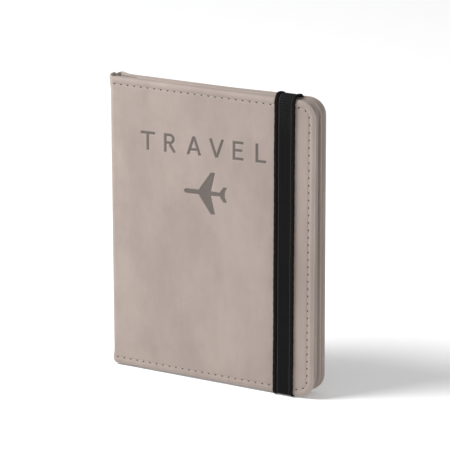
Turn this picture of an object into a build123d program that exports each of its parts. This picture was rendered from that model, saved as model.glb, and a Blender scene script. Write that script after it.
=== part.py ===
"""Passport holder wallet: a soft-cover booklet closed by an elastic band.

It stands upright on its bottom edge.  +Z is up, the front cover faces -Y, the back cover faces +Y,
the spine is at -X and the fore-edge, where it opens, at +X.  The origin is the middle of the
footprint, on the floor under the band's bottom turn.  Millimetres.
"""
import os

from build123d import *

# Overall sizes of the closed holder
height = 142.0              # covers, bottom edge to top edge
width = 107.0               # spine to fore-edge
closing_gap = 0.4           # between the innermost pockets of the two covers
fore_corner_radius = 8.5    # rounded corners at the fore-edge
spine_corner_radius = 1.0   # nearly square corners at the spine
edge_round = 1.2            # turned edge of the outer leather

# Leather, board and sheet thicknesses
skin = 1.1                  # outer leather
board = 2.0                 # stiffening board in each cover
lining = 0.6                # lining of each cover and of the spine
sheet = 0.6                 # each pocket sheet

# Insets and places, all from the edges of a cover
seam_offset = 3.4           # stitch line, from the top, bottom and fore-edge
board_margin = 1.0          # board edge, inside the stitch line
lining_inset = 0.8          # lining and pockets, from the top, bottom and fore-edge
hinge_gap = 0.2             # between the spine strip and a cover
gutter = 0.6                # between the spine lining and a cover's lining

# Stitching thread, which lies sunk in the surface that it holds down
thread_width = 0.6
thread_depth = 0.3
seam_start = 3.0            # first stitch, from the spine face
board_gutter = 6.0          # board, from the spine face

# Pockets.  Front cover: slip pocket with card pockets on it.  Back cover: boarding-pass pocket
# with the passport sleeve on it.  Slip, pass and passport pockets open towards the spine.
slip_pocket_start = 12.0    # opening edge, from the spine face
card_pocket_start = 6.0     # spine side of the card pockets
card_seam_inset = 2.0       # side stitch line of the card pockets, from their spine side
card_top = 96.0             # top edge of the highest card pocket, above the cover's bottom edge
card_step = 12.0            # each card pocket is this much lower than the one behind it
card_pockets = 3
pass_pocket_start = 12.0
sleeve_start = 36.0
thumb_notch_radius = 11.0   # half-round notch in the sleeve's opening edge

# Elastic band
band_width = 10.4
band_thick = 0.7
band_clear = 0.1            # band to leather
band_from_fore_edge = 15.3  # middle of the band, from the fore-edge
band_tail = 12.0            # length of each end that lies under the back cover's lining
channel_clear = 0.1         # channel round the band's end

# Worked-out places
cover_depth = skin + board
front_depth = cover_depth + lining + sheet * (1 + card_pockets)
back_depth = cover_depth + lining + sheet * 2
thickness = front_depth + closing_gap + back_depth
floor_to_cover = band_thick + band_clear
z_bottom = floor_to_cover
z_top = z_bottom + height
x_spine = -width / 2
x_fore = width / 2
y_front = (floor_to_cover - thickness) / 2
y_back = y_front + thickness
x_band = x_fore - band_from_fore_edge
board_inset = seam_offset + board_margin
lining_start = skin + lining + gutter


def panel(start, inset):
    """Flat outline of a cover-shaped piece in X and Z.

    start is measured from the spine face, inset from the three free edges.
    """
    low = Vector(x_spine + start, z_bottom + inset)
    high = Vector(x_fore - inset, z_top - inset)
    middle = (low + high) / 2
    face = Pos(middle.X, middle.Y) * Rectangle(high.X - low.X, high.Y - low.Y)
    corner = max(fore_corner_radius - inset, 0.5)
    face = fillet(face.vertices().group_by(Axis.X)[-1], corner)
    if start == 0:
        face = fillet(face.vertices().group_by(Axis.X)[0], spine_corner_radius)
    return face


def slab(face, y_low, y_high):
    """An X-Z outline made solid between two depths."""
    return Pos(0, y_high, 0) * Rot(90, 0, 0) * extrude(face, y_high - y_low)


def block(x_range, y_range, z_range):
    """A box between three pairs of limits."""
    size = [pair[1] - pair[0] for pair in (x_range, y_range, z_range)]
    centre = [(pair[0] + pair[1]) / 2 for pair in (x_range, y_range, z_range)]
    return Pos(*centre) * Box(*size)


class Half:
    """One cover: depth is measured from its outer face inwards."""

    def __init__(self, outer_y, inward):
        self.outer_y = outer_y
        self.inward = inward

    def span(self, depth_low, depth_high):
        ends = [self.outer_y + self.inward * depth for depth in (depth_low, depth_high)]
        return min(ends), max(ends)

    def piece(self, face, depth_low, depth_high):
        return slab(face, *self.span(depth_low, depth_high))

    def cover_skin(self):
        """Leather folded round the board: a tray that is solid outside the board's outline."""
        tray = self.piece(panel(0, 0), 0, cover_depth)
        faces = tray.faces().sort_by(Axis.Y)
        outer = faces[0] if self.inward > 0 else faces[-1]
        tray = fillet(outer.edges(), edge_round)
        return tray - self.piece(panel(board_gutter, board_inset), skin, cover_depth)

    def shifted(self, solid, depth):
        return Pos(0, self.inward * depth, 0) * solid

    def thread(self, column, stack, towards):
        """Thread sunk in a stack's surface, and down the face of each step it meets.

        column is the stitch line's full-depth solid, stack the pieces it lies on, and towards is
        +1 when the stack's surface faces the other cover, -1 when it is the outer face.  The
        layer is the stack and its copies moved one thread depth up and towards the spine, less
        the stack sunk by a thread depth.
        """
        steps = stack + Pos(0, 0, thread_depth) * stack + Pos(-thread_depth, 0, 0) * stack
        layer = steps - self.shifted(stack, -towards * thread_depth)
        return column & layer


front = Half(y_front, 1)
back = Half(y_back, -1)


def seam_column():
    """The stitch line round a cover's three free edges, as a solid through both covers."""
    half = thread_width / 2
    outer = panel(seam_start, seam_offset - half)
    inner = panel(seam_start - 1, seam_offset + half)
    return slab(outer - inner, y_front, y_back)


def fused(pieces):
    total = pieces[0]
    for piece in pieces[1:]:
        total = total + piece
    return total


nodes = {}
seam = seam_column()

# Front cover, from the outside in
front_skin = front.cover_skin()
front_thread = front.thread(seam, front_skin, -1) & slab(
    panel(seam_start, lining_inset), *front.span(0, skin)
)
nodes["front_cover_skin"] = front_skin - front_thread
nodes["front_seam_thread"] = front_thread
nodes["front_board"] = front.piece(panel(board_gutter, board_inset), skin, cover_depth)

depth = cover_depth + lining
front_stack = {"front_lining": front.piece(panel(lining_start, lining_inset), cover_depth, depth)}
front_stack["slip_pocket"] = front.piece(
    panel(slip_pocket_start, lining_inset), depth, depth + sheet
)
depth += sheet
slip_face = depth
for number in range(card_pockets):
    top = z_bottom + card_top - number * card_step
    below = block((x_spine, x_fore), (y_front, y_back), (z_bottom, top))
    start = card_pocket_start
    floor = front.piece(panel(start, lining_inset), depth, depth + sheet) & below
    if number == 0:
        # The first sheet also fills the step down to the lining beside the slip pocket
        hem = front.piece(panel(start, lining_inset), depth - sheet, depth) & below
        floor = floor + (hem - front_stack["slip_pocket"])
    front_stack[f"card_pocket_{number + 1}"] = floor
    depth += sheet

front_inside = fused(list(front_stack.values()))
front_inner_thread = front.thread(seam, front_inside, 1)
x_card_seam = x_spine + card_pocket_start + card_seam_inset
half_thread = thread_width / 2
card_column = block(
    (x_card_seam - half_thread, x_card_seam + half_thread),
    front.span(slip_face - sheet, depth),
    (z_bottom + seam_offset + thread_width, z_bottom + card_top - thread_width),
)
card_thread = front.thread(card_column, front_inside, 1)
for name, piece in front_stack.items():
    nodes[name] = piece - front_inner_thread - card_thread
nodes["front_inner_seam_thread"] = front_inner_thread
nodes["card_pocket_side_thread"] = card_thread

# Back cover, from the outside in
back_skin = back.cover_skin()
back_board = back.piece(panel(board_gutter, board_inset), skin, cover_depth)
back_thread = back.thread(seam, back_skin, -1) & slab(
    panel(seam_start, lining_inset), *back.span(0, skin)
)

# Elastic band: a loop round the front cover.  Its two ends lie in channels in the back cover's
# leather and board, under the lining, and come out at the top and bottom edges.
loop_y = (y_front - floor_to_cover, y_back + floor_to_cover)
loop_outer = RectangleRounded(
    loop_y[1] - loop_y[0], height + 2 * floor_to_cover, edge_round + floor_to_cover
)
loop_inner = RectangleRounded(
    thickness + 2 * band_clear, height + 2 * band_clear, edge_round + band_clear
)
loop = extrude(Plane.YZ * (loop_outer - loop_inner), band_width)
loop = Pos(x_band - band_width / 2, sum(loop_y) / 2, z_bottom + height / 2) * loop
band_x = (x_band - band_width / 2, x_band + band_width / 2)
tail_y = (y_back - cover_depth, y_back - cover_depth + band_thick)
turn_low = z_bottom + edge_round
turn_high = z_top - edge_round


def loop_part(y_high, z_range):
    return loop & block((band_x[0] - 1, band_x[1] + 1), (loop_y[0] - 1, y_high), z_range)


nodes["band_front_run"] = loop_part(0, (turn_low, turn_high))
nodes["band_turn_bottom"] = loop_part(tail_y[1], (-1, turn_low))
nodes["band_turn_top"] = loop_part(tail_y[1], (turn_high, z_top + 5))

for name, edge, inwards in (("top", z_top, -1), ("bottom", z_bottom, 1)):
    reach = sorted((edge - inwards * band_clear, edge + inwards * band_tail))
    nodes[f"band_tail_{name}"] = block(band_x, tail_y, reach)
    channel = block(
        (band_x[0] - channel_clear, band_x[1] + channel_clear),
        (tail_y[0], tail_y[1] + channel_clear),
        sorted((edge - inwards, edge + inwards * (band_tail + channel_clear))),
    )
    back_skin = back_skin - channel
    back_board = back_board - channel

nodes["back_cover_skin"] = back_skin - back_thread
nodes["back_seam_thread"] = back_thread
nodes["back_board"] = back_board

depth = cover_depth + lining
back_stack = {"back_lining": back.piece(panel(lining_start, lining_inset), cover_depth, depth)}
back_stack["boarding_pass_pocket"] = back.piece(
    panel(pass_pocket_start, lining_inset), depth, depth + sheet
)
depth += sheet
notch = Pos(x_spine + sleeve_start, z_bottom + height / 2) * Circle(thumb_notch_radius)
back_stack["passport_sleeve"] = back.piece(
    panel(sleeve_start, lining_inset) - notch, depth, depth + sheet
)
back_inside = fused(list(back_stack.values()))
back_inner_thread = back.thread(seam, back_inside, 1)
for name, piece in back_stack.items():
    nodes[name] = piece - back_inner_thread
nodes["back_inner_seam_thread"] = back_inner_thread

# Spine strip between the covers: outer leather with its lining
spine_y = (y_front + cover_depth + hinge_gap, y_back - cover_depth - hinge_gap)
nodes["spine_skin"] = block((x_spine, x_spine + skin), spine_y, (z_bottom, z_top))
nodes["spine_lining"] = block(
    (x_spine + skin, x_spine + skin + lining),
    spine_y,
    (z_bottom + lining_inset, z_top - lining_inset),
)

os.makedirs("parts", exist_ok=True)
for name, shape in nodes.items():
    print(f"{name}: {len(shape.solids())} solid, {shape.volume:.1f} mm3")
    export_step(shape, f"parts/{name}.step")
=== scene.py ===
import math

import bpy
import numpy as np
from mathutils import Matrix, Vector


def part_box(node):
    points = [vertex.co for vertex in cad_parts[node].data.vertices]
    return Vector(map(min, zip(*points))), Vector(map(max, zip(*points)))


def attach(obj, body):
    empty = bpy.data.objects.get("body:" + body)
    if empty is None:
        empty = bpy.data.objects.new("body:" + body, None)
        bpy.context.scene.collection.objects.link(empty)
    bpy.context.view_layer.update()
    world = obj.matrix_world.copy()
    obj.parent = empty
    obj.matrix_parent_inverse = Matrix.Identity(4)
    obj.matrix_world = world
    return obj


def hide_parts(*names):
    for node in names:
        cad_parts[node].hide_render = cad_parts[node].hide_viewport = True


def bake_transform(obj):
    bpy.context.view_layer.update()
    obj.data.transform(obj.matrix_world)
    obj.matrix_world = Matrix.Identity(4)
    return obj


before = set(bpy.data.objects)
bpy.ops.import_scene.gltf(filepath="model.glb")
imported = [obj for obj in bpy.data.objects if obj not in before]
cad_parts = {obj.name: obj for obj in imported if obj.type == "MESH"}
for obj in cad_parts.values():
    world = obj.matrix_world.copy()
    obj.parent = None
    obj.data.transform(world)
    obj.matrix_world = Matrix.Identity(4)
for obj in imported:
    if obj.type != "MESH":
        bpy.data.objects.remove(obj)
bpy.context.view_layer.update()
mm = 0.001  # shapes are worked out in millimetres and stored in metres
sharpAngle = math.radians(50)


def cadSpan(node):
    # lowest and highest corner of a CAD node in millimetres, with y from the holder's middle plane
    low, high = (np.array(corner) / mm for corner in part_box(node))
    return low - middlePlane, high - middlePlane


coverYs = [corner[1] / mm for corner in (*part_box("front_cover_skin"), *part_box("back_cover_skin"))]
middlePlane = np.array([0, (min(coverYs) + max(coverYs)) / 2, 0])
frontLow, frontHigh = cadSpan("front_cover_skin")
bandLow, bandHigh = cadSpan("band_front_run")

place = {
    "xSpine": frontLow[0],
    "xFore": frontHigh[0],
    "zLow": frontLow[2],
    "zHigh": frontHigh[2],
    "face": -frontLow[1],  # middle plane to outer face of the closed holder
    "coverDepth": frontHigh[1] - frontLow[1],
    "spineInside": cadSpan("spine_lining")[1][0],  # inner face of the spine lining
    "xBand": (bandLow[0] + bandHigh[0]) / 2,
}
zMiddle = (place["zLow"] + place["zHigh"]) / 2
halfHeight = (place["zHigh"] - place["zLow"]) / 2


def spot(x, y, z=0):
    # a place given in millimetres from the middle plane, in metres of the frame
    return (np.array([x, y, z]) + middlePlane) * mm


def ease(low, high, value):
    # 0 below low, 1 above high, and a smooth cubic between
    t = np.clip((value - low) / (high - low), 0, 1)
    return t * t * (3 - 2 * t)


def hump(centre, width, value):
    # bell curve of height 1
    return np.exp(-(((value - centre) / width) ** 2))


bend = {
    "splayTop": 0.8,  # how far the back cover springs out at the fore-edge, past the band
    "splayFoot": 2.7,
    "pinch": 2.2,  # how far the band draws it in at the top
    "pinchStart": 1.0,  # from the spine face
    "pinchFull": 7.5,
    "pinchEase": 0.72,  # share of the pinch that is gone beside the band
}


def settle(points):
    # the back half gives: the splay opens the gap between the covers, and the pinch closes it
    x, y, z = points[..., 0], points[..., 1], points[..., 2]
    past = ease(place["xBand"] + 4, place["xFore"], x)
    top = np.clip((z - zMiddle) / halfHeight, 0, 1) ** 3
    fromSpine = x - place["xSpine"]
    reach = ease(bend["pinchStart"], bend["pinchFull"], fromSpine)
    reach = reach * (1 - bend["pinchEase"] * ease(place["xBand"] - 34, place["xBand"] - 5, x))
    up = np.clip((z - zMiddle) / halfHeight, -1, 1) * 0.5 + 0.5
    splay = bend["splayFoot"] + (bend["splayTop"] - bend["splayFoot"]) * up
    moved = points.copy()
    moved[..., 1] = (
        y + splay * past * ease(0.42, 0.78, y)
        - bend["pinch"] * top * reach * (1 - past) * ease(-1.3, 0.7, y)
    )
    return moved


def smoothLine(points, count):
    # cubic through points, with each slope half the step between its neighbours
    points = np.array(points, float)
    slopes = np.gradient(points, axis=0)
    run = np.linspace(0, len(points) - 1, count)
    base = np.minimum(run.astype(int), len(points) - 2)
    t = (run - base)[:, None]
    return (
        (2 * t**3 - 3 * t**2 + 1) * points[base]
        + (t**3 - 2 * t**2 + t) * slopes[base]
        + (3 * t**2 - 2 * t**3) * points[base + 1]
        + (t**3 - t**2) * slopes[base + 1]
    )


def gridFaces(rows, columns, wrapRows=False, wrapColumns=False):
    # four corner numbers for each cell of a grid whose vertices are counted along its columns
    i = np.arange(rows if wrapRows else rows - 1)[:, None]
    j = np.arange(columns if wrapColumns else columns - 1)[None, :]
    down, right = (i + 1) % rows, (j + 1) % columns
    return np.stack(
        [i * columns + j, i * columns + right, down * columns + right, down * columns + j], -1
    ).reshape(-1, 4)


def facingOut(points, faces, caps):
    # a closed skin's faces and caps, turned round if its signed volume is below 0: the sum over its
    # triangles of the first corner times the cross product of the other two
    fans = [np.stack([cap[1:-1] * 0 + cap[0], cap[1:-1], cap[2:]], -1) for cap in caps]
    triangles = np.concatenate([faces[:, [0, 1, 2]], faces[:, [0, 2, 3]], *fans])
    a, b, c = points[triangles].swapaxes(0, 1)
    if np.sum(a * np.cross(b, c)) > 0:
        return faces, caps
    return faces[:, ::-1], [cap[::-1] for cap in caps]


def lofts(rings):
    # closed skins over rows of closed rings, with a cap on each first and last ring: rings counts
    # skins, rings, points round a ring and coordinates
    count, deep, around = rings.shape[:3]
    starts = np.arange(count)[:, None] * deep * around
    grid = gridFaces(deep, around, wrapColumns=True)
    faces = (grid[None] + starts[:, :, None]).reshape(-1, 4)
    first = starts + np.arange(around)
    points = rings.reshape(-1, 3)
    return points, *facingOut(points, faces, [*first[:, ::-1], *(first + (deep - 1) * around)])


def addObject(name, data):
    thing = bpy.data.objects.new(name, data)
    bpy.context.scene.collection.objects.link(thing)
    return thing


def newPiece(name, points, faces, caps, coat, body=None, marks=None):
    # a mesh object from points in millimetres, with each point's resting place kept as an attribute
    points = settle(points) + middlePlane
    mesh = bpy.data.meshes.new(name)
    mesh.from_pydata((points * mm).tolist(), [], faces.tolist() + [cap.tolist() for cap in caps])
    mesh.shade_smooth()
    mesh.set_sharp_from_angle(angle=sharpAngle)
    rest = mesh.attributes.new("atRest", "FLOAT_VECTOR", "POINT")
    rest.data.foreach_set("vector", points.astype(np.float32).ravel())
    for mark, values in (marks or {}).items():
        layer = mesh.attributes.new(mark, "FLOAT", "POINT")
        layer.data.foreach_set("value", np.asarray(values, np.float32).ravel())
    mesh.materials.append(coat)
    piece = addObject(name, mesh)
    if body:
        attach(piece, body)
    return piece


def runAlong(line):
    # distance travelled at each point of a line
    return np.concatenate([[0], np.cumsum(np.linalg.norm(np.diff(line, axis=0), axis=1))])


def leftOf(along):
    # unit normals on the left of flat directions
    return np.stack([-along[:, 1], along[:, 0]], -1) / np.linalg.norm(along, axis=1)[:, None]


class Tone:
    # a shader value: arithmetic on it adds Math nodes
    def __init__(self, coat, socket):
        self.coat = coat
        self.socket = socket

    def sum(self, operation, *parts):
        return self.coat.node("Math", {"operation": operation}, dict(enumerate(parts)))

    def __add__(self, other):
        return self.sum("ADD", self, other)

    def __radd__(self, other):
        return self.sum("ADD", other, self)

    def __sub__(self, other):
        return self.sum("SUBTRACT", self, other)

    def __rsub__(self, other):
        return self.sum("SUBTRACT", other, self)

    def __mul__(self, other):
        return self.sum("MULTIPLY", self, other)

    def __rmul__(self, other):
        return self.sum("MULTIPLY", other, self)

    def __truediv__(self, other):
        return self.sum("DIVIDE", self, other)

    def wave(self, pitch):
        # 0 to 1 and back once in each pitch
        return self.sum("SINE", self * (2 * math.pi / pitch)) * 0.5 + 0.5

    def between(self, low, high):
        sockets = {"Value": self, "From Min": low, "From Max": high}
        return self.coat.node("MapRange", {"interpolation_type": "SMOOTHSTEP"}, sockets)


class Coat:
    # a material under construction, with one principled shader
    def __init__(self, name, **fixed):
        self.material = bpy.data.materials.new(name)
        self.material.use_nodes = True
        self.tree = self.material.node_tree
        self.shader = self.tree.nodes["Principled BSDF"]
        for socket, value in fixed.items():
            self.shader.inputs[socket.replace("_", " ")].default_value = value

    def node(self, kind, settings=None, sockets=None, out=0):
        made = self.tree.nodes.new("ShaderNode" + kind)
        for name, value in (settings or {}).items():
            setattr(made, name, value)
        for name, value in (sockets or {}).items():
            if isinstance(value, Tone):
                self.tree.links.new(value.socket, made.inputs[name])
            else:
                made.inputs[name].default_value = value
        return Tone(self, made.outputs[out])

    def mark(self, name, out=2):
        return self.node("Attribute", {"attribute_name": name}, out=out)

    def place(self, scale=(1, 1, 1)):
        # resting place in millimetres, stretched by scale
        rest = self.mark("atRest", out=1)
        return self.node("Mapping", {}, {"Vector": rest, "Scale": scale})

    def axes(self):
        # resting distance across and up the piece, in millimetres
        parts = self.node("SeparateXYZ", {}, {"Vector": self.mark("atRest", out=1)})
        return parts, Tone(self, parts.socket.node.outputs["Z"])

    def noise(self, size, detail=3, rough=0.5, stretch=(1, 1, 1), seed=0.0):
        # soft noise with features about size millimetres across
        sockets = {"Vector": self.place(stretch), "W": seed, "Scale": 1 / size}
        sockets |= {"Detail": detail, "Roughness": rough}
        return self.node("TexNoise", {"noise_dimensions": "4D"}, sockets)

    def mix(self, share, first, second):
        pair = {
            6: first if isinstance(first, Tone) else (*first, 1),
            7: second if isinstance(second, Tone) else (*second, 1),
        }
        return self.node("Mix", {"data_type": "RGBA"}, {0: share, **pair}, out=2)

    def bump(self, height, depth, under=None):
        # depth is the height's reach in millimetres
        sockets = {"Height": height, "Strength": 1.0, "Distance": depth * mm}
        if under:
            sockets["Normal"] = under
        return self.node("Bump", {}, sockets)

    def finish(self, **feeds):
        for socket, value in feeds.items():
            self.tree.links.new(value.socket, self.shader.inputs[socket.replace("_", " ")])
        return self.material


hide = {
    "light": (0.348, 0.288, 0.257),
    "dark": (0.262, 0.215, 0.190),
    "pressed": (0.094, 0.079, 0.070),
    "cloud": 24.0,  # size of the cloudy patches
    "mottle": 5.0,
    "grain": 0.55,
    "grainDepth": 0.035,
}


def leatherCoat(name, light, dark, pressed=None, seed=0.0):
    # matte coated leather: cloudy patches, soft mottle and a fine pebbled grain
    coat = Coat(name, Sheen_Weight=0.10, Sheen_Roughness=0.5, Specular_IOR_Level=0.3)
    cloud = coat.noise(hide["cloud"], detail=4, rough=0.6, stretch=(1, 1, 0.6), seed=seed)
    streak = coat.noise(10, detail=4, rough=0.6, stretch=(1.2, 1, 0.35), seed=seed + 7)
    mottle = coat.noise(hide["mottle"], detail=5, rough=0.65, seed=seed + 3).between(0.3, 0.7)
    fine = coat.noise(0.8, detail=3, rough=0.6, seed=seed + 5)
    share = cloud.between(0.36, 0.66) * 0.45 + streak.between(0.3, 0.7) * 0.25
    share = share + mottle * 0.15 + fine * 0.15
    colour = coat.mix(share, dark, light)
    grain = coat.noise(hide["grain"], detail=4, rough=0.6, seed=seed + 9)
    creased = coat.noise(9.0, detail=6, rough=0.6, stretch=(1.0, 1.0, 0.6), seed=seed + 2)
    rough = 0.56 + 0.14 * mottle
    if pressed:
        pressedFloor = coat.mark("press")
        colour = coat.mix(pressedFloor * (0.86 + 0.14 * fine), colour, pressed)
        rough = rough - pressedFloor * 0.12
        grain = grain * (1 - pressedFloor * 0.6)
    under = coat.bump(creased, 0.14)
    return coat.finish(
        Base_Color=colour, Roughness=rough, Normal=coat.bump(grain, hide["grainDepth"], under)
    )


def liningCoat():
    # plain-woven lining cloth: crossing yarns with slubs
    coat = Coat("liningCloth", Sheen_Weight=0.2)
    across, along = coat.axes()
    warp, weft = across.wave(0.42), along.wave(0.42)
    over = (across / 0.42 + along / 0.42).wave(2.0).between(0.35, 0.65)
    yarns = warp + over * (weft - warp)
    slub = coat.noise(1.6, detail=3, stretch=(0.4, 1, 2.5))
    share = yarns * 0.5 + slub * 0.5
    colour = coat.mix(share, (0.19, 0.158, 0.138), (0.31, 0.262, 0.232))
    return coat.finish(
        Base_Color=colour, Roughness=0.72 + 0.2 * slub, Normal=coat.bump(yarns, 0.06)
    )


def boardCoat():
    # grey board with flecks of fibre
    coat = Coat("greyBoard")
    fibre = coat.noise(0.9, detail=6, rough=0.7, stretch=(3.0, 1, 0.6))
    fleck = coat.noise(0.35, detail=2).between(0.62, 0.72)
    colour = coat.mix(fibre, (0.24, 0.215, 0.18), (0.42, 0.38, 0.32))
    colour = coat.mix(fleck * 0.6, colour, (0.12, 0.10, 0.085))
    return coat.finish(
        Base_Color=colour, Roughness=0.8 + 0.15 * fibre, Normal=coat.bump(fibre, 0.05)
    )


def threadCoat():
    # two-ply sewing thread: slanted plies along each stitch, and painted shade: near-black where a
    # needle hole opens, for the shadow inside the hole
    coat = Coat("sewingThread", Sheen_Weight=0.15)
    twist = coat.mark("twist").wave(1.0)
    fuzz = coat.noise(0.3, detail=3)
    colour = coat.mix(twist * 0.6 + fuzz * 0.4, (0.33, 0.278, 0.245), (0.47, 0.405, 0.36))
    # painted shade: near-black over each needle hole, where the inside of the hole lies in shadow
    colour = coat.mix(coat.mark("hole"), colour, (0.005, 0.004, 0.0035))
    return coat.finish(
        Base_Color=colour, Roughness=0.6 + 0.25 * fuzz, Normal=coat.bump(twist, 0.05)
    )


def elasticCoat():
    # black woven elastic: lengthwise ribs crossed by close picks, a fine bright yarn inside each
    # selvedge, browner loops on the selvedges, and painted highlight on the rib crests with painted
    # shade in the valleys where the web is gathered
    coat = Coat("wovenElastic", Specular_IOR_Level=0.06)
    across, along = coat.mark("across"), coat.mark("along")
    rib, pick = across.wave(0.62), along.wave(0.5)
    stagger = (along + rib * 0.25).wave(0.5)
    lint = coat.noise(0.25, detail=4, rough=0.7)
    dust = coat.noise(0.55, detail=2, seed=4.0).between(0.70, 0.80)
    bright, edge, paintedCrestHighlight = coat.mark("brightYarn"), coat.mark("selvedge"), coat.mark("paintedCrestHighlight")
    weave = rib * 0.35 + stagger * 0.45 + lint * 0.2
    colour = coat.mix(weave, (0.0022, 0.0022, 0.0024), (0.0105, 0.0102, 0.0106))
    # painted highlight on the crests of the gathered ribs, which leaves the valleys darker as painted
    # shade
    colour = coat.mix(paintedCrestHighlight * 0.6, colour, (0.027, 0.0265, 0.027))
    colour = coat.mix(edge * 0.7, colour, (0.0080, 0.0058, 0.0050))
    colour = coat.mix(bright * (0.45 + 0.55 * pick), colour, (0.062, 0.062, 0.062))
    colour = coat.mix(dust * 0.4, colour, (0.04, 0.04, 0.042))
    height = weave + bright * 0.3
    return coat.finish(
        Base_Color=colour, Roughness=0.66 + 0.2 * lint, Normal=coat.bump(height, 0.10)
    )


outerLeather = leatherCoat("outerLeather", hide["light"], hide["dark"], hide["pressed"])
pocketLeather = leatherCoat("pocketLeather", (0.375, 0.313, 0.278), (0.320, 0.265, 0.235), seed=21)
liningCloth = liningCoat()
greyBoard = boardCoat()
sewingThread = threadCoat()
wovenElastic = elasticCoat()
print("materials made")


lettering = {
    "word": "TRAVEL",  # a plain word in even block capitals
    "capHeight": 9.0,
    "baseline": 109.6,  # above the floor, at the first letter
    "rise": 0.0255,  # the print climbs a little towards the fore-edge
    "stroke": 0.15,  # in parts of the cap height
    "starts": (17.0, 29.4, 41.2, 53.0, 65.2, 77.0),  # from the spine face
    "wall": 0.36,  # width of the pressed wall
    "depth": 0.26,
}


def bar(u, v, start, end):
    # straight stroke of even width with square ends: distance outside its sides
    run = np.subtract(end, start)
    length = math.hypot(*run)
    along = ((u - start[0]) * run[0] + (v - start[1]) * run[1]) / length
    off = np.abs((v - start[1]) * run[0] - (u - start[0]) * run[1]) / length
    return np.maximum(off - lettering["stroke"] / 2, np.abs(along - length / 2) - length / 2)


def letterShape(letter, u, v):
    # distance outside a letter's strokes, in parts of the cap height: u across and v up from 0 to 1
    t = lettering["stroke"] / 2
    strokes = {
        "T": [((0.0, 1 - t), (0.84, 1 - t)), ((0.42, 0), (0.42, 1))],
        "R": [((t, 0), (t, 1)), ((0.33, 0.46), (0.62, 0))],
        "A": [((t, 0), (0.43, 1)), ((0.86 - t, 0), (0.43, 1)), ((0.2, 0.3), (0.66, 0.3))],
        "V": [((t, 1), (0.43, 0)), ((0.86 - t, 1), (0.43, 0))],
        "E": [((t, 0), (t, 1)), ((0, t), (0.62, t)), ((0, 0.52), (0.55, 0.52)),
              ((0, 1 - t), (0.62, 1 - t))],
        "L": [((t, 0), (t, 1)), ((0, t), (0.6, t))],
    }  # fmt: skip
    out = np.minimum.reduce([bar(u, v, start, end) for start, end in strokes[letter]])
    out = np.maximum(out, np.abs(v - 0.5) - 0.5)
    if letter == "R":
        # the bowl: a half ring of even stroke joined to the stem by two level strokes
        middle, radius = 0.72, 0.28 - t
        ring = np.abs(np.hypot(np.maximum(u - 0.34, 0), v - middle) - radius) - t
        out = np.minimum(out, np.maximum(ring, t - u))
    return out


aeroplane = {
    "middle": (50.6, 93.0),  # from the spine face, above the floor
    "nose": -10.8,
    "tail": 11.4,
    "body": 1.18,  # half width of the fuselage
    "wingRoot": (-4.0, 3.1),
    "wingTip": (3.3, 5.5),
    "span": 10.1,
    "finRoot": (7.2, 10.2),
    "finTip": (9.9, 11.7),
    "finSpan": 3.7,
}


def sweptPanel(u, v, root, tip, span):
    # a pair of swept panels: inside the lines of their leading and trailing edges and tips
    share = np.abs(v) / span
    lead = root[0] + (tip[0] - root[0]) * share
    trail = root[1] + (tip[1] - root[1]) * share
    slope = math.cos(math.atan2(tip[0] - root[0], span))
    return np.maximum(np.maximum((lead - u) * slope, (u - trail) * slope), np.abs(v) - span)


def aeroplaneShape(u, v):
    # u runs from nose to tail and v across the wings, in millimetres
    nose, body = aeroplane["nose"], aeroplane["body"]
    blunt = np.clip((nose + 1.8 - u) / 1.8, 0, 1)
    half = body * (1 - 0.25 * ease(2, aeroplane["tail"], u)) * np.sqrt(1 - 0.99 * blunt**2)
    fuselage = np.maximum(np.abs(v) - half, np.maximum(nose - u, u - 10.6))
    wings = sweptPanel(u, v, aeroplane["wingRoot"], aeroplane["wingTip"], aeroplane["span"])
    fins = sweptPanel(u, v, aeroplane["finRoot"], aeroplane["finTip"], aeroplane["finSpan"])
    return np.minimum.reduce([fuselage, wings, fins])


def pressedShapes(x, z):
    # distance outside the outlines of the lettering and the pictogram, below 0 inside them
    u = x - place["xSpine"]
    v = z - lettering["rise"] * (u - lettering["starts"][0])
    cap, base = lettering["capHeight"], lettering["baseline"]
    out = np.full(x.shape, 5.0)
    for start, letter in zip(lettering["starts"], lettering["word"]):
        near = (u > start - 1) & (u < start + cap) & (v > base - 1) & (v < base + cap + 1)
        a, b = (u[near] - start) / cap, (v[near] - base) / cap
        out[near] = np.minimum(out[near], letterShape(letter, a, b) * cap)
    middle = aeroplane["middle"]
    across = z - middle[1] - lettering["rise"] * (u - middle[0])
    near = (np.abs(u - middle[0]) < 13) & (np.abs(across) < 12)
    out[near] = np.minimum(out[near], aeroplaneShape(u[near] - middle[0], across[near]))
    return out


cover = {
    "cornerRadius": 8.5,
    "spineRound": 2.4,  # outside radius where leather turns from spine to cover
    "spineEase": 0.30,  # how far the face still falls away beside that turn
    "foreEase": 0.75,  # how far it falls away beyond the band
    "edgeRound": 1.5,  # how far in from the edge the rolled edge starts
    "turnIn": 2.2,  # flat leather inside the rolled edge
    "seamOffset": 3.4,
    "seamStart": 3.0,
    "seamSink": 0.24,
    "ridge": 0.17,  # swelling between the seam and the edge
    "spineWall": 1.7,  # depth of the rolled edge at the spine
    "flare": 0.5,  # how far the ends of the spine stand out
    "endRound": 2.4,  # rounding of the spine's ends
    "topFront": 0.45,  # shares of that rounding by which the spine's ends rise
    "topBack": -0.1,
    "footRise": 0.8,
    "foldDepth": 2.6,  # from the outer face to where the fold starts in the spine
    "foldReach": 3.2,  # from the spine face to where it ends in the cover
}
cornerX = place["xFore"] - cover["cornerRadius"]
cornerLow = place["zLow"] + cover["cornerRadius"]
cornerHigh = place["zHigh"] - cover["cornerRadius"]
rollStart = cover["cornerRadius"] - cover["edgeRound"]
rollLength = 3.6  # outward distance taken up by going round the edge


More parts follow.
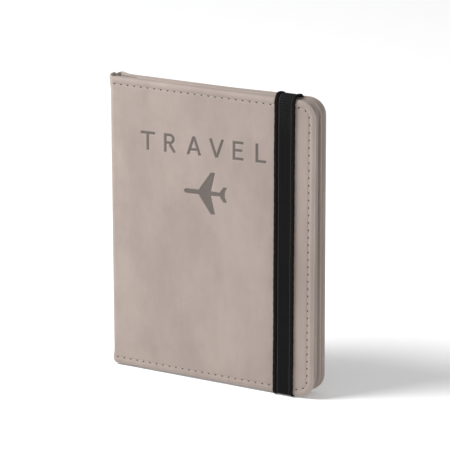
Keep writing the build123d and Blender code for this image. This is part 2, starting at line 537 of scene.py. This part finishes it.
def edgeSteps():
    # distances outwards from a corner's centre: flat, close about the seam, then round the edge
    seam = cover["cornerRadius"] - cover["seamOffset"]
    flat = np.array([-3.7, -2.4, -1.5, -0.9, -0.55, -0.3, -0.15, 0, 0.15, 0.3, 0.55, 0.9, 1.3, 1.7])
    roll = rollStart + rollLength * np.linspace(0, 1, 15)
    return np.concatenate([flat + seam, roll[1:], [roll[-1] + cover["turnIn"]]])


def rolledEdge(out):
    # reach from the corner's centre and share of the cover's depth: flat face, half oval, turn-in
    t = np.clip((out - rollStart) / rollLength, 0, 1) * math.pi
    back = np.clip(out - rollStart - rollLength, 0, None)
    reach = np.minimum(out, rollStart) + cover["edgeRound"] * np.sin(t) - back
    return reach, (1 - np.cos(t)) / 2


def planPath(run):
    # outer line of the leather seen from above, from mid-spine to the fore-edge corner's centre:
    # straight down the spine, a quarter circle, then straight along the face
    radius = cover["spineRound"]
    spineRun = place["face"] - radius
    turn = np.clip((run - spineRun) / radius, 0, math.pi / 2)
    flat = np.clip(run - spineRun - radius * math.pi / 2, 0, None)
    x = place["xSpine"] + radius * (1 - np.cos(turn)) + flat
    y = -np.minimum(run, spineRun) - radius * np.sin(turn)
    return x, y, np.cos(turn), np.sin(turn)


def edgeDistance(x, z):
    # distance in from the rounded outline, with the spine side open
    a = x - cornerX
    b = np.abs(z - zMiddle) - (halfHeight - cover["cornerRadius"])
    inside = np.minimum(np.maximum(a, b), 0)
    return cover["cornerRadius"] - np.hypot(np.maximum(a, 0), np.maximum(b, 0)) - inside


def faceSink(x, z):
    # how far the face lies below its flat plane: seam channel, swollen edge, band mark, soft
    # hollows, and the fall towards the spine
    s = edgeDistance(x, z)
    fromSpine = x - place["xSpine"]
    sewn = ease(0.8, 3.0, fromSpine)
    sink = cover["seamSink"] * sewn * hump(cover["seamOffset"], 0.42, s)
    sink = sink - cover["ridge"] * sewn * hump(2.0, 0.8, s)
    sink = sink + 0.10 * hump(0, 4.4, x - place["xBand"])
    sink = sink + 0.05 * np.sin(x / 13 + 1.0) * np.sin(z / 17 + 0.4)
    sink = sink + 0.03 * np.sin(x / 4.1 + z / 6.3)
    sink = sink + cover["foreEase"] * ease(place["xBand"] - 1, place["xFore"], x)
    return sink + cover["spineEase"] * (1 - ease(0, 9, fromSpine))


def flareOut(x, z):
    # the ends of the spine stand out, fading away from the spine and from the end
    fromEnd = np.maximum(halfHeight - np.abs(z - zMiddle), 0)
    return cover["flare"] * (1 - ease(0, 8, fromEnd)) * (1 - ease(1, 8, x - place["xSpine"]))


def outerLevel(x, z):
    # depth of a cover's outer surface below its flat plane
    return faceSink(x, z) - flareOut(x, z)


def coverRuns(fine):
    # the leather's places along the plan path and up the cover, close together where it is pressed
    near = np.array([0.5, 1.0, 1.6, 2.3, 3.1, 4.0, 5.0, 6.2, 7.4])
    widest = cornerX - place["xSpine"]
    if fine:
        wide = np.concatenate(
            [np.linspace(10.9, 15.2, 4)[:-1], np.arange(15.4, 84.8, 0.265), [86, 87.7, 89.4]]
        )
        rows = np.concatenate(
            [np.linspace(cornerLow, 82.0, 30)[1:], np.arange(82.3, 103.9, 0.26),
             np.linspace(104.8, 107.8, 4), np.arange(108.2, 121.7, 0.2),
             np.linspace(122.6, cornerHigh, 5)[:-1]]
        )  # fmt: skip
    else:
        wide = np.linspace(10.9, widest, 46)[:-1]
        rows = np.linspace(cornerLow, cornerHigh, 60)[1:-1]
    wide = np.concatenate([wide, np.linspace(wide[-1], widest, 4)[1:]])
    return np.concatenate([near, wide - cover["spineRound"]]), rows


def coverLeather(name, side, fine):
    # a sheet of leather from mid-spine round to the fore-edge, rolled over three edges.
    # Columns run along the plan path and rows up the cover; past a corner's centre both are
    # measured outwards, and the larger of the two, turned through a quarter circle, goes over the
    # rolled edge. The last rows come back down the inner side, which closes the sheet.
    radius = cover["spineRound"]
    spineRun = place["face"] - radius
    flatStart = spineRun + radius * math.pi / 2
    flat, rows = coverRuns(fine)
    steps = edgeSteps()
    straight = np.linspace(0, spineRun, 8)[:-1]
    turning = spineRun + radius * math.pi / 2 * np.linspace(0, 1, 9)
    past = np.full(len(steps), flatStart + flat[-1])
    run = np.concatenate([straight, turning, flatStart + flat, past])
    beyondX = np.concatenate([np.zeros(len(run) - len(steps)), steps])
    below, above = np.full(len(steps) + 1, cornerLow), np.full(len(steps) + 1, cornerHigh)
    inner = np.linspace(cornerHigh, cornerLow, 26)
    core = np.concatenate([below, rows, above, inner])
    beyondZ = np.concatenate([-steps[::-1], [0], 0 * rows, [0], steps, 0 * inner])
    within = np.concatenate([0 * below, 0 * rows, 0 * above, 1 + 0 * inner])[:, None]
    run, core = np.meshgrid(run, core)
    beyondX, beyondZ = np.meshgrid(beyondX, beyondZ)

    out = np.maximum(beyondX, np.abs(beyondZ))
    ratio = np.minimum(beyondX, np.abs(beyondZ)) / np.maximum(out, 1e-6)
    angle = np.where(beyondX >= np.abs(beyondZ), ratio, 2 - ratio) * math.pi / 4
    reach, share = rolledEdge(out)
    lastReach = rolledEdge(steps[-1])[0] - 0.6
    reach = np.where(within > 0, lastReach * beyondX / steps[-1], reach)
    share = np.maximum(share, within)
    angle = np.where((out > 0) & (within < 1), angle, 0)
    x, y, inX, inY = planPath(run)
    x = x + reach * np.cos(angle) * (out > 0)
    z = core + reach * np.sin(angle) * np.sign(beyondZ)

    fromSpine = run - spineRun
    wall = cover["spineWall"]
    depthHere = wall + (place["coverDepth"] - wall) * ease(0.5, 5, fromSpine)
    outerSide = (1 - ease(0.0, 0.35, share)) * ease(0, 4, fromSpine)
    depth = share * depthHere + faceSink(x, z) * outerSide
    press = np.zeros_like(x)
    if fine:
        shapes = pressedShapes(x, z)
        wide = lettering["wall"]
        sunk = 1 - ease(-wide / 2, wide / 2, shapes)
        depth = depth + (lettering["depth"] * sunk - 0.05 * hump(wide, 0.22, shapes)) * outerSide
        press = (1 - ease(-0.17, 0.06, shapes)) * outerSide
    depth = depth - flareOut(x, z)
    x = x + inX * depth
    y = y + inY * depth
    # the spine's foot is rounded off by a circle's drop, and its top stands up in front
    fromEnd = np.maximum(halfHeight - np.abs(z - zMiddle), 0)
    spineSide = np.clip(1 - (x - place["xSpine"]) / cover["endRound"], 0, 1)
    drop = cover["endRound"] * (1 - np.sqrt(1 - 0.98 * spineSide**2)) * (1 - ease(0, 6, fromEnd))
    topRise = cover["topFront"] if side < 0 else cover["topBack"]
    z = z + drop * np.where(z > zMiddle, topRise, cover["footRise"])
    points = np.stack([x, y * -side, z], -1).reshape(-1, 3)

    count, columns = x.shape
    left = np.arange(count) * columns
    caps = (left, (left + columns - 1)[::-1])
    skin = facingOut(points, gridFaces(count, columns, wrapRows=True), caps)
    piece = newPiece(name, points, *skin, outerLeather, marks={"press": press})
    spineEnd = spot(place["xSpine"], side * (place["face"] - cover["foldDepth"]))
    coverEnd = spot(place["xSpine"] + cover["foldReach"], side * place["face"])
    if side < 0:
        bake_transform(piece)
        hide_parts("front_cover_skin")
    else:
        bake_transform(piece)
        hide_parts("back_cover_skin", "spine_skin")
    return piece


frontLeather = coverLeather("frontLeather", -1, True)
backLeather = coverLeather("backLeather", 1, False)
print("leather covers made")


def roundedOutline(corners, perArc=9, perRun=15):
    # closed outline through corners given as x, z and radius, with each corner a circular arc
    corners = np.array(corners, float)
    arcs = []
    for index, (x, z, radius) in enumerate(corners):
        here = np.array([x, z])
        before = corners[index - 1, :2] - here
        after = corners[(index + 1) % len(corners), :2] - here
        before, after = before / np.hypot(*before), after / np.hypot(*after)
        half = math.acos(np.clip(before @ after, -1, 1)) / 2
        trim = radius / math.tan(half)
        middle = here + (before + after) / np.hypot(*(before + after)) * radius / math.sin(half)
        first, last = here + before * trim - middle, here + after * trim - middle
        start = math.atan2(first[1], first[0])
        turn = math.atan2(first[0] * last[1] - first[1] * last[0], first @ last)
        angle = start + turn * np.linspace(0, 1, perArc)
        arcs.append(middle + radius * np.stack([np.cos(angle), np.sin(angle)], -1))
    joined = []
    for index, arc in enumerate(arcs):
        following = arcs[(index + 1) % len(arcs)][0]
        share = np.linspace(0, 1, perRun + 1)[1:-1, None]
        joined += [arc, arc[-1] + (following - arc[-1]) * share]
    return np.concatenate(joined)


def turning(outline):
    # 1 for an outline that runs anticlockwise in x and z, -1 for clockwise
    ahead = np.roll(outline, -1, 0)
    return np.sign(np.sum(outline[:, 0] * ahead[:, 1] - ahead[:, 0] * outline[:, 1]))


def inset(outline, distance):
    # each point moved inwards along the normal of the line between its neighbours
    along = np.roll(outline, -1, 0) - np.roll(outline, 1, 0)
    return outline + leftOf(along) * turning(outline) * distance


def sheetPiece(name, outline, depths, side, coat, body, node, hem=0.0):
    # a thin sheet as rings: from the middle of its underside out, round its half-round rim and back
    # in over its top, which swells by hem at the rim. Depth is measured inwards from the outer face
    low, high = depths
    rim = (high - low + hem) / 2
    turn = np.linspace(0, math.pi, 8)
    inner = (0.03, 0.25, 0.5, 0.75, 0.92)
    clear = 0.7  # how far in from the outline the flat sides end
    rings = [(share, clear, low) for share in (*inner, 1)]
    rings += [(1, rim * (1 - math.sin(t)), low + rim * (1 - math.cos(t))) for t in turn]
    rings += [(1, clear, low + 2 * rim), (0.965, clear, low + 2 * rim), (0.94, clear, high)]
    rings += [(share, clear, high) for share in inner[::-1]]
    middle = (outline.min(0) + outline.max(0)) / 2
    rows = []
    for share, away, depth in rings:
        line = middle + (inset(outline, away) - middle) * share
        y = np.full(len(line), side * (place["face"] - depth))
        rows.append(np.stack([line[:, 0], y, line[:, 1]], -1))
    piece = newPiece(name, *lofts(np.stack(rows)[None]), coat, body)
    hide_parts(node)
    return piece


smallCorner = 0.8


def panelOutline(left, right, bottom, top, lowCorner, highCorner):
    # a rectangle whose corners at the fore-edge have the given radii
    return roundedOutline(
        [(left, bottom, smallCorner), (right, bottom, lowCorner),
         (right, top, highCorner), (left, top, smallCorner)]
    )  # fmt: skip


def sheetOutline(node, foreInset):
    # square at the spine side and rounded at the fore-edge; the sheets reach nearly to the covers'
    # top and bottom edges
    low, high = cadSpan(node)
    tall = high[2] > place["zHigh"] - 2
    xEnd, bottom = place["xFore"] - foreInset, place["zLow"] + 0.5
    top = place["zHigh"] - 0.25 if tall else high[2]
    radius = cover["cornerRadius"] - 0.8
    return panelOutline(low[0], xEnd, bottom, top, radius, radius if tall else smallCorner)


def depthSpan(node, side):
    # a CAD sheet's depths from its cover's outer face
    low, high = cadSpan(node)
    return sorted((place["face"] - side * low[1], place["face"] - side * high[1]))


sleeve = {"notch": 10.0, "notchHalf": 15.0, "foreInset": 2.2, "hem": 0.12}


def sleeveOutline():
    # the passport sleeve's outline, with a soft thumb notch hollowed into its spine side
    edge = cadSpan("passport_sleeve")[0][0]
    outline = sheetOutline("passport_sleeve", sleeve["foreInset"])
    away = np.linspace(-1, 1, 45) * sleeve["notchHalf"]
    hollow = sleeve["notch"] * (1 - ease(0, sleeve["notchHalf"], np.abs(away)))
    notch = np.stack([edge + hollow, zMiddle - away], -1)
    spineSide = outline[:, 0] < edge + 0.01
    kept = outline[~(spineSide & (np.abs(outline[:, 1] - zMiddle) < sleeve["notchHalf"] + 1))]
    # the outline ends with the spine side, running down from the top corner
    split = np.flatnonzero((kept[:, 0] < edge + 0.01) & (kept[:, 1] > zMiddle))[-1] + 1
    return np.concatenate([kept[:split], notch, kept[split:]])


def pocketPiece(node, side, outline, hem, depths=None):
    sheetPiece(
        node + "_sheet", outline, depths or depthSpan(node, side), side,
        pocketLeather, "front" if side < 0 else "back", node, hem,
    )  # fmt: skip


# node, side, distance in from the fore-edge and swelling of the turned hem
pocketSheets = [
    ("slip_pocket", -1, 0.7, 0.35),
    ("card_pocket_2", -1, 2.1, 0.1),
    ("card_pocket_3", -1, 2.2, 0.1),
    ("boarding_pass_pocket", 1, 0.7, 0.35),
]
for node, side, foreInset, hem in pocketSheets:
    pocketPiece(node, side, sheetOutline(node, foreInset), hem)
high = depthSpan("card_pocket_1", -1)[1]
pocketThick = 0.6
outline = sheetOutline("card_pocket_1", 2.0)
pocketPiece("card_pocket_1", -1, outline, 0.1, (high - pocketThick, high))
pocketPiece("passport_sleeve", 1, sleeveOutline(), sleeve["hem"])

for side, body, leather in ((-1, "front", frontLeather), (1, "back", backLeather)):
    node = body + "_board"
    low, high = depthSpan(node, side)
    boxLow, boxHigh = cadSpan(node)
    corner = cover["cornerRadius"] - (place["xFore"] - boxHigh[0])
    outline = panelOutline(boxLow[0], boxHigh[0], boxLow[2], boxHigh[2], corner, corner)
    board = sheetPiece(
        node + "_sheet", outline, (low + 0.1, high - 0.05), side, greyBoard, body, node
    )
    node = body + "_lining"
    outline = sheetOutline(node, 0.6)
    depths = depthSpan(node, side)
    cloth = sheetPiece(
        node + "_cloth", outline, depths, side, liningCloth, body, node, 0.3
    )


spineCloth = {
    "thick": 0.55,
    "radius": 1.3,  # inside the corner between spine and cover
    "under": 7.4,  # how far it runs on between the cover's lining and board
    "foot": 0.6,  # clear of the covers' bottom and top edges
    "top": 0.45,
}


def spineLining(name, side):
    # cloth from mid-spine to under the cover's lining: a plan path of two straights and a quarter
    # circle, given a thickness and carried from bottom to top
    inside = place["spineInside"] + 0.05
    deep = place["face"] - place["coverDepth"] - 0.25
    radius = spineCloth["radius"]
    t = np.linspace(0, math.pi / 2, 9)
    corner = np.array([inside + radius, deep - radius])
    arc = corner + radius * np.stack([-np.cos(t), np.sin(t)], -1)
    start = np.stack([np.full(5, inside), np.linspace(0, corner[1], 6)[:-1]], -1)
    finishX = np.linspace(corner[0], corner[0] + spineCloth["under"], 8)[1:]
    finish = np.stack([finishX, np.full(len(finishX), deep)], -1)
    line = np.concatenate([start, arc, finish])
    thicker = line + leftOf(np.gradient(line, axis=0)) * spineCloth["thick"]
    loop = np.concatenate([line, thicker[::-1]])
    lowest, highest = place["zLow"] + spineCloth["foot"], place["zHigh"] - spineCloth["top"]
    heights = np.linspace(lowest, highest, 30)
    points = np.zeros((len(heights), len(loop), 3))
    points[..., 0] = loop[:, 0]
    points[..., 1] = loop[:, 1] * side
    points[..., 2] = heights[:, None]
    piece = newPiece(name, *lofts(points[None]), liningCloth)
    edge = place["xSpine"] + place["coverDepth"]
    spineEnd = spot(edge, side * (place["face"] - place["coverDepth"] - 1.2))
    coverEnd = spot(edge + 2.0, side * (place["face"] - place["coverDepth"] + 0.8))
    if side < 0:
        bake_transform(piece)
    else:
        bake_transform(piece)
        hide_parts("spine_lining")
    return piece


spineLining("spineLiningFront", -1)
spineLining("spineLiningBack", 1)
print("linings, boards and pockets made")


stitch = {
    "pitch": 3.55,
    "thread": 0.2,  # radius
    "rise": 0.04,  # middle line of a stitch above the channel's floor
    "dip": 0.5,  # and below it at the holes
    "hole": (0.42, 0.33),  # half length along the seam and half width
    "slant": -15,  # degrees
}
seamCorner = cover["cornerRadius"] - cover["seamOffset"]
seamStraight = cornerX - place["xSpine"] - cover["seamStart"]
seamLength = 2 * seamStraight + seamCorner * math.pi + cornerHigh - cornerLow


def seamPath(s):
    # x and z along the stitch line by distance from the spine: top edge, quarter circle, fore-edge,
    # quarter circle, bottom edge
    quarter = seamCorner * math.pi / 2
    down = cornerHigh - cornerLow
    marks = np.cumsum([seamStraight, quarter, down, quarter])
    a = np.clip(s - marks[0], 0, quarter) / seamCorner
    b = np.clip(s - marks[2], 0, quarter) / seamCorner
    level = np.clip(s, None, seamStraight) - np.clip(s - marks[3], 0, None)
    x = place["xSpine"] + cover["seamStart"] + level + seamCorner * (np.sin(a) - 1 + np.cos(b))
    z = place["zHigh"] - cover["seamOffset"] + seamCorner * (np.cos(a) - 1 - np.sin(b))
    return x, z - np.clip(s - marks[1], 0, down)


def tubes(line, width, outward, sides=8):
    # round threads along many lines at once: line counts threads, steps and coordinates
    along = np.gradient(line, axis=1)
    along = along / np.linalg.norm(along, axis=2)[..., None]
    across = np.cross(along, outward)
    across = across / np.linalg.norm(across, axis=2)[..., None]
    over = np.cross(across, along)
    angle = np.linspace(0, 2 * math.pi, sides, endpoint=False)
    ring = np.cos(angle)[:, None] * across[:, :, None] + np.sin(angle)[:, None] * over[:, :, None]
    return line[:, :, None] + ring * width[None, :, None, None]


def stitchRow(name, x, z, levelAt, side, body, node, sunk=0.0):
    # thread from hole to hole with a puckered lip round each hole. levelAt gives the surface's
    # depth at x and z; its outward side is side. sunk lowers the thread between the holes
    out = np.array([0.0, side, 0.0])
    count = len(x) - 1
    q = np.linspace(0, 1, 11)
    arch = -stitch["dip"] + (stitch["dip"] + stitch["rise"] - sunk) * np.sin(math.pi * q) ** 0.8
    lineX = x[:-1, None] * (1 - q) + x[1:, None] * q
    lineZ = z[:-1, None] * (1 - q) + z[1:, None] * q
    lineY = side * (place["face"] - levelAt(lineX, lineZ) + arch)
    line = np.stack([lineX, lineY, lineZ], -1)
    width = stitch["thread"] * (0.62 + 0.38 * np.sin(math.pi * q) ** 0.5)
    thread = tubes(line, width, np.broadcast_to(out, line.shape))
    threadPoints, threadFaces, threadCaps = lofts(thread)
    sides = thread.shape[2]
    twist = q[None, :, None] * 7 + np.arange(sides) / sides + np.zeros((count, 1, 1))

    # each hole's rings: outer skirt, lip, inside of the lip, a disc painted near-black as the shade
    # inside the hole, and its middle
    size = np.array([1.8, 1.3, 1.12, 1.0, 0.03])
    heights = np.array([-0.32, 0.07, 0.06, 0.035, 0.03])
    angle = np.linspace(0, 2 * math.pi, 14, endpoint=False)
    heading = np.arctan2(np.gradient(z), np.gradient(x)) + math.radians(stitch["slant"])
    a = stitch["hole"][0] * size[:, None] * np.cos(angle)
    b = stitch["hole"][1] * size[:, None] * np.sin(angle)
    heading = heading[:, None, None]
    ringX = x[:, None, None] + a * np.cos(heading) - b * np.sin(heading)
    ringZ = z[:, None, None] + a * np.sin(heading) + b * np.cos(heading)
    ringY = side * (place["face"] - levelAt(ringX, ringZ) + heights[None, :, None])
    lipPoints, lipFaces, lipCaps = lofts(np.stack([ringX, ringY, ringZ], -1))
    # painted shade: the disc and its middle take the full near-black, the lip's inside a quarter of
    # it
    dark = np.broadcast_to(np.array([0, 0, 0.25, 1, 1.0])[None, :, None], ringX.shape)

    offset = len(threadPoints)
    points = np.concatenate([threadPoints, lipPoints])
    faces = np.concatenate([threadFaces, lipFaces + offset])
    caps = threadCaps + [cap + offset for cap in lipCaps]
    marks = {
        "twist": np.concatenate([twist.ravel(), np.zeros(ringX.size)]),
        "hole": np.concatenate([np.zeros(offset), dark.ravel()]),
    }
    piece = newPiece(name, points, faces, caps, sewingThread, body, marks)
    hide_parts(node)
    return piece


seam = seamPath(np.linspace(0, seamLength, round(seamLength / stitch["pitch"]) + 1))
stitchRow("frontSeamThread", *seam, outerLevel, -1, "front", "front_seam_thread")
stitchRow("backSeamThread", *seam, outerLevel, 1, "back", "back_seam_thread")


def insideLevel(side, nodes):
    # depth of a cover's innermost surface, counting each pocket sheet that lies there, measured
    # from the other cover's side of the middle plane as stitchRow expects
    def level(x, z):
        depth = np.full(np.shape(x), depthSpan(nodes[0], side)[1])
        for node in nodes[1:]:
            low, high = cadSpan(node)
            depth = np.where((x > low[0]) & (z < high[2]), depthSpan(node, side)[1], depth)
        return 2 * place["face"] - depth

    return level


frontSheets = ["front_lining", "slip_pocket", "card_pocket_1", "card_pocket_2", "card_pocket_3"]
backSheets = ["back_lining", "boarding_pass_pocket", "passport_sleeve"]
frontInside, backInside = insideLevel(-1, frontSheets), insideLevel(1, backSheets)
stitchRow("frontInnerThread", *seam, frontInside, 1, "front", "front_inner_seam_thread", 0.14)
stitchRow("backInnerThread", *seam, backInside, -1, "back", "back_inner_seam_thread", 0.14)
sideLow, sideHigh = cadSpan("card_pocket_side_thread")
count = round((sideHigh[2] - sideLow[2]) / stitch["pitch"])
cardZ = np.linspace(sideLow[2], sideHigh[2], count + 1)
cardX = np.full(count + 1, (sideLow[0] + sideHigh[0]) / 2)
sideNode = "card_pocket_side_thread"
stitchRow("cardPocketThread", cardX, cardZ, frontInside, 1, "front", sideNode, 0.08)
print("stitching made")


elastic = {
    "width": bandHigh[0] - bandLow[0],
    "web": 0.58,  # thickness of the middle
    "selvedge": 0.95,  # thickness at the rolled edges
    "core": 0.26,  # height of the edges' middle
    "selvedgeLeft": 1.7,  # width of each selvedge, nearer the spine and nearer the fore-edge
    "selvedgeRight": 1.3,
    "yarnLeft": 2.45,  # bright yarns, from the same edges
    "yarnRight": 1.85,
    "ribs": 8,
    "gather": 0.15,  # height of the cross ribs where it turns over the top
    "gatherPitch": 1.02,
    "gatherReach": 20.0,
    "ear": 0.42,  # how far the selvedges stand up at the top of the turn
    "split": -2.7,  # depth where a turning piece meets the front run
    "step": 0.26,
}
# the band's inner line over the top and under the bottom: y from the middle plane, z from the edge
overTop = [
    (2.95, -7.5), (2.95, -3.5), (2.93, -1.4), (2.6, -0.2), (1.7, 0.35), (0.2, 0.62), (-1.8, 0.85),
    (-3.4, 0.85), (-4.7, 0.28), (-5.46, -0.75), (-5.68, -2.2), (-5.66, -4), (-5.64, -8),
]  # fmt: skip
underFoot = [
    (-5.64, 8), (-5.66, 4), (-5.64, 2.0), (-5.35, 0.75), (-4.5, 0.25), (-3.0, 0.24), (0, 0.24),
    (2.4, 0.24), (2.9, 0.75), (2.95, 2.0), (2.95, 7.5),
]  # fmt: skip


def evenly(points, step):
    # a smooth line through points, cut into steps of equal length
    line = smoothLine(points, 40 * len(points))
    run = runAlong(line)
    even = np.linspace(0, run[-1], max(3, round(run[-1] / step) + 1))
    return np.stack([np.interp(even, run, line[:, i]) for i in (0, 1)], -1)


def selvedgeReach(u):
    # width of the selvedge on the side where u lies
    return np.where(u < 0, elastic["selvedgeLeft"], elastic["selvedgeRight"])


def bandSection():
    # closed outline across the band: flat inside, ribbed outside, thick and round at both selvedges
    half = elastic["width"] / 2
    corner = 1.3 * (1 - np.cos(np.linspace(0, math.pi / 2, 9)))
    u = np.concatenate([-half + corner, np.linspace(-half + 1.45, half - 1.45, 46)])
    u = np.concatenate([u, half - corner[::-1]])
    inward = half - np.abs(u)
    reach = selvedgeReach(u)
    thin = ease(0.8, 1.1, inward / reach)
    swell = elastic["selvedge"] - (elastic["selvedge"] - elastic["web"]) * thin
    swell = swell - 0.16 * hump(1.05, 0.13, inward / reach)
    roundEdge = np.sqrt(np.clip(1 - (1 - np.clip(inward / 0.5, 0, 1)) ** 2, 0, 1))
    rib = 0.03 * np.cos(u / half * elastic["ribs"] * math.pi) * ease(1.0, 1.2, inward / reach)
    core = elastic["core"]
    top = core + (swell - core + rib) * roundEdge
    bottom = core - core * roundEdge
    return np.concatenate([np.stack([u, top], -1), np.stack([u, bottom], -1)[::-1][1:-1]])


def bandPiece(name, path, runStart, bodies, start, end, *nodes):
    # the band's section carried along a path of y and z, whose right side is away from the covers
    normal = -leftOf(np.gradient(path, axis=0))
    outline = bandSection()
    half = elastic["width"] / 2
    u, height = outline[None, :, 0], outline[None, :, 1]
    run = (runStart + runAlong(path))[:, None]
    inward = half - np.abs(u)
    reach = selvedgeReach(u)
    yarn = np.where(u < 0, elastic["yarnLeft"], elastic["yarnRight"])
    outside = (height > 0.3) * 1.0

    # cross ribs where the web is gathered over the top, and ears where its selvedges stand up
    fromTop = np.abs(path[:, 1] - place["zHigh"])[:, None]
    fade = 1 - ease(2, elastic["gatherReach"], fromTop)
    sway = 0.25 * np.sin(u * 1.1 + run * 0.13) + 0.15 * np.sin(u * 2.3 + run * 0.4)
    wave = np.cos((run / elastic["gatherPitch"] + sway) * 2 * math.pi)
    web = ease(0.9, 1.35, inward / reach)
    gather = elastic["gather"] * fade * wave * web * outside
    turned = hump(place["zHigh"] + 0.85, 0.6, path[:, 1])[:, None]
    ear = elastic["ear"] * turned * (1 - ease(0.3, 1.3, inward / reach)) * np.where(u < 0, 1, 0.6)
    crease = 0.10 * hump(place["zHigh"] - 1.5, 0.35, path[:, 1])[:, None] * web
    crease = crease * (path[:, 0] < -4)[:, None] * outside
    lift = height + gather + ear - crease
    fray = 0.03 * np.sin(run / 1.7) + 0.04 * np.sin(run / 0.61 + 1) + 0.04 * np.sin(run / 9)
    points = np.zeros((len(path), len(outline), 3))
    points[..., 0] = place["xBand"] + u * (1 + 0.004 * np.sin(run / 5.3)) + fray
    points[..., 1] = path[:, None, 0] + normal[:, None, 0] * lift
    points[..., 2] = path[:, None, 1] + normal[:, None, 1] * lift
    marks = {
        "across": u + 0 * run,
        "along": run + 0 * u,
        "brightYarn": hump(yarn, 0.12, inward) * outside + 0 * run,
        "selvedge": 1 - ease(0.8, 1.1, inward / reach) + 0 * run,
        # painted highlight: how far towards a gathered rib's crest a point lies, for lightening the
        # crests
        "paintedCrestHighlight": (fade * web * outside) * ease(0.1, 0.9, wave),
    }
    piece = newPiece(name, *lofts(points[None]), wovenElastic, marks=marks)
    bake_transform(piece)
    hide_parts(*nodes)
    return run[-1, 0]


topLine = evenly([(y, place["zHigh"] + z) for y, z in overTop], elastic["step"])
footLine = evenly([(y, place["zLow"] + z) for y, z in underFoot], elastic["step"])
between = int((topLine[-1, 1] - footLine[0, 1]) / 0.5)
straight = topLine[-1] + (footLine[0] - topLine[-1]) * np.linspace(0, 1, between)[1:-1, None]
topCut = np.argmax(topLine[:, 0] < elastic["split"])
footCut = np.argmax(footLine[:, 0] > elastic["split"])
turns = ("back", "band_turns")
backEdge, split, faceEdge = 2.9, elastic["split"], -place["face"]
run = bandPiece(
    "bandTopTurn", topLine[: topCut + 1], 0.0, turns, backEdge, split,
    "band_tail_top", "band_turn_top",
)  # fmt: skip
run = bandPiece(
    "bandFrontRun", np.concatenate([topLine[topCut:], straight, footLine[: footCut + 1]]), run,
    ("band_turns", "band_run"), split, faceEdge, "band_front_run",
)  # fmt: skip
bandPiece(
    "bandBottomTurn", footLine[footCut:], run, turns, backEdge, split,
    "band_tail_bottom", "band_turn_bottom",
)  # fmt: skip
print("elastic band made")


view = {
    "azimuth": 27.7,  # degrees towards the fore-edge
    "elevation": 17.4,
    "distance": 1.192,
    "target": (0.0047, 0.0004, 0.0770),
}
sensor = {"width": 36, "lens": 205.2}


def aim(thing, target):
    direction = np.array(target) - np.array(thing.location)
    flat = math.hypot(direction[0], direction[1])
    tilt = math.atan2(flat, -direction[2])
    thing.rotation_euler = (tilt, 0, math.atan2(-direction[0], direction[1]))


def aroundTarget(azimuth, elevation, distance, target):
    a, e = math.radians(azimuth), math.radians(elevation)
    step = np.array([math.sin(a) * math.cos(e), -math.cos(a) * math.cos(e), math.sin(e)])
    return np.array(target) + step * distance


cameraData = bpy.data.cameras.new("camera")
cameraData.lens = sensor["lens"]
cameraData.sensor_width = sensor["width"]
cameraData.clip_end = 20
camera = addObject("camera", cameraData)
camera.location = aroundTarget(**view)
aim(camera, view["target"])
bpy.context.scene.camera = camera

studio = {
    "target": (0, 0, 0.07),
    "key": {"azimuth": -58, "elevation": 40, "distance": 0.45, "size": 0.22, "power": 1.25},
    "high": {"azimuth": -50, "elevation": 48, "distance": 3.4, "size": 1.3, "power": 80.0},
    "side": {"azimuth": 78, "elevation": 8, "distance": 2.0, "size": 0.8, "power": 4.5},
    "world": 0.40,
    "floor": (0.98, 0.98, 0.985, 1),
    "floorGlow": 0.165,
}


def softLight(name, azimuth, elevation, distance, size, power):
    data = bpy.data.lights.new(name, "AREA")
    data.shape = "DISK"
    data.size = size
    data.energy = power
    lamp = addObject(name, data)
    lamp.location = aroundTarget(azimuth, elevation, distance, studio["target"])
    aim(lamp, studio["target"])


for lamp in ("key", "high", "side"):
    softLight(lamp + "Light", **studio[lamp])
world = bpy.data.worlds.new("studio")
world.use_nodes = True
sky = world.node_tree.nodes["Background"].inputs
sky["Color"].default_value = (1, 1, 1, 1)
sky["Strength"].default_value = studio["world"]
bpy.context.scene.world = world
bpy.context.scene.view_settings.view_transform = "Standard"

floorCoat = Coat(
    "floorPaper", Roughness=0.9, Specular_IOR_Level=0.1, Base_Color=studio["floor"],
    Emission_Color=(1, 1, 1, 1), Emission_Strength=studio["floorGlow"],
)  # fmt: skip
floorMesh = bpy.data.meshes.new("floor")
floorMesh.from_pydata([(-6, -6, 0), (6, -6, 0), (6, 6, 0), (-6, 6, 0)], [], [(0, 1, 2, 3)])
floorMesh.materials.append(floorCoat.material)
floor = addObject("floor", floorMesh)
print("camera and light set")
